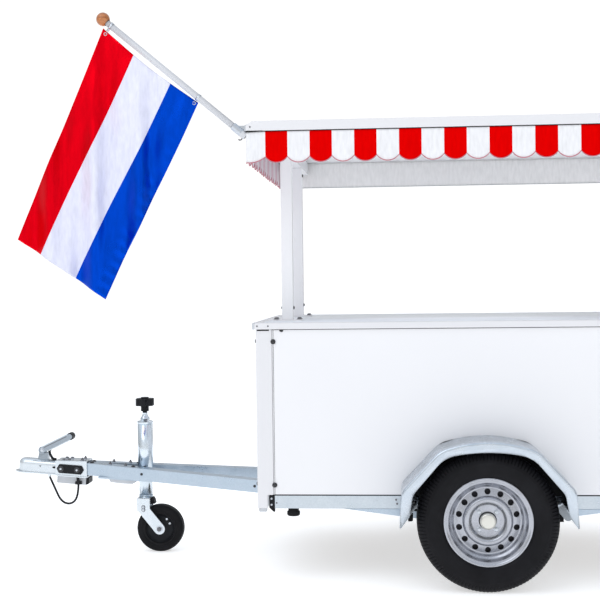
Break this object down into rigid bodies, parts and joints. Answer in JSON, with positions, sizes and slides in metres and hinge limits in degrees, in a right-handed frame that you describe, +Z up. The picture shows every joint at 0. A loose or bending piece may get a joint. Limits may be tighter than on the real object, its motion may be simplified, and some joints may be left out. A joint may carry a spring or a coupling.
{
  "type": "ice cream trailer",
  "caption": "Single-axle ice cream trailer: white sales box with counter, flat canopy with a red and white scalloped valance on square posts, flag on a pole, V drawbar and jockey wheel.",
  "frame": {"origin": "on the ground, below the middle of the overall length and width", "axes": "+X from the coupling to the rear, +Y to the right side, +Z up; the striped left side faces -Y"},
  "size_m": [3.26, 1.61, 2.4264],
  "materials": {
    "white_panel": "satin gelcoat skin",
    "white_paint": "satin powder coat",
    "counter_sheet": "matt sheet",
    "galvanised": "hot-dip galvanised",
    "bright_steel": "zinc plated",
    "rim_paint": "silver enamel",
    "tyre": "moulded rubber",
    "rubber": "matt rubber",
    "black_plastic": "grained plastic",
    "grey_plastic": "moulded plastic",
    "awning_cloth": "coated striped cloth",
    "band_cloth": "coated plain cloth",
    "flag_cloth": "woven three-colour cloth",
    "wood_ball": "varnished",
    "pole_white": "gloss paint",
    "lamp_red": "moulded lens",
    "floor_board": "coated plywood"
  },
  "bodies": {
    "chassis": {"side_rail_left": "galvanised", "side_rail_right": "galvanised", "rail_end_caps": "black_plastic", "cross_rails": "galvanised", "floor_panel": "floor_board", "rail_buffers": "rubber", "corner_posts": "white_paint", "post_plugs": "black_plastic", "side_panel_left": "white_panel", "side_panel_right": "white_panel", "front_panel": "white_panel", "door_hinges": "bright_steel", "counter_trim": "white_paint", "counter_top": "counter_sheet", "tail_lamps": "lamp_red", "mast_feet": "white_paint", "masts": "white_paint", "roof_beams": "white_paint", "roof_frame": "white_paint", "roof_panel": "white_panel", "valance_left": "awning_cloth", "valance_front": "awning_cloth", "valance_rear": "awning_cloth", "valance_right": "band_cloth", "flag_pole": "pole_white", "pole_ball": "wood_ball", "pole_holder": "bright_steel", "flag": "flag_cloth", "flag_clips": "bright_steel", "axle_tube": "galvanised", "axle_arms": "galvanised", "axle_brackets": "galvanised", "wing_left": "galvanised", "wing_right": "galvanised", "drawbar_beam_left": "galvanised", "drawbar_beam_right": "galvanised", "drawbar_nose": "bright_steel", "coupling_head": "bright_steel", "coupling_lever": "bright_steel", "coupling_side_plates": "black_plastic", "cable_box": "grey_plastic", "cable_clip": "black_plastic", "safety_cable": "black_plastic", "jockey_clamp": "galvanised", "jockey_tube": "bright_steel", "jockey_knob": "black_plastic"},
    "wheel_left": {"tyre_left": "tyre", "rim_left": "rim_paint", "hub_left": "bright_steel"},
    "wheel_right": {"tyre_right": "tyre", "rim_right": "rim_paint", "hub_right": "bright_steel"},
    "jockey_stem": {"jockey_leg": "bright_steel"},
    "jockey_caster": {"jockey_fork": "bright_steel"},
    "jockey_wheel": {"jockey_tyre": "rubber", "jockey_hub": "black_plastic"},
    "door_left": {"rear_door_left": "white_panel"},
    "door_right": {"rear_door_right": "white_panel", "door_lock": "bright_steel"}
  },
  "joints": [
    {"name": "wheel_left_spin", "type": "hinge", "parent": "chassis", "child": "wheel_left", "pos_m": [0.582, -0.7, 0.292], "axis": [0, 1, 0], "continuous": true},
    {"name": "wheel_right_spin", "type": "hinge", "parent": "chassis", "child": "wheel_right", "pos_m": [0.582, 0.7, 0.292], "axis": [0, 1, 0], "continuous": true},
    {"name": "jockey_slide", "type": "slide", "parent": "chassis", "child": "jockey_stem", "axis": [0, 0, 1], "range_m": [0, 0.065]},
    {"name": "jockey_swivel", "type": "hinge", "parent": "jockey_stem", "child": "jockey_caster", "pos_m": [-0.994, 0, 0.262], "axis": [0, 0, 1], "continuous": true},
    {"name": "jockey_wheel_spin", "type": "hinge", "parent": "jockey_caster", "child": "jockey_wheel", "pos_m": [-0.923, 0, 0.112], "axis": [0, 1, 0], "continuous": true},
    {"name": "door_left_hinge", "type": "hinge", "parent": "chassis", "child": "door_left", "pos_m": [1.621, -0.5175, 0.72], "axis": [0, 0, -1], "range_deg": [0, 170]},
    {"name": "door_right_hinge", "type": "hinge", "parent": "chassis", "child": "door_right", "pos_m": [1.621, 0.5175, 0.72], "axis": [0, 0, 1], "range_deg": [0, 170]}
  ]
}
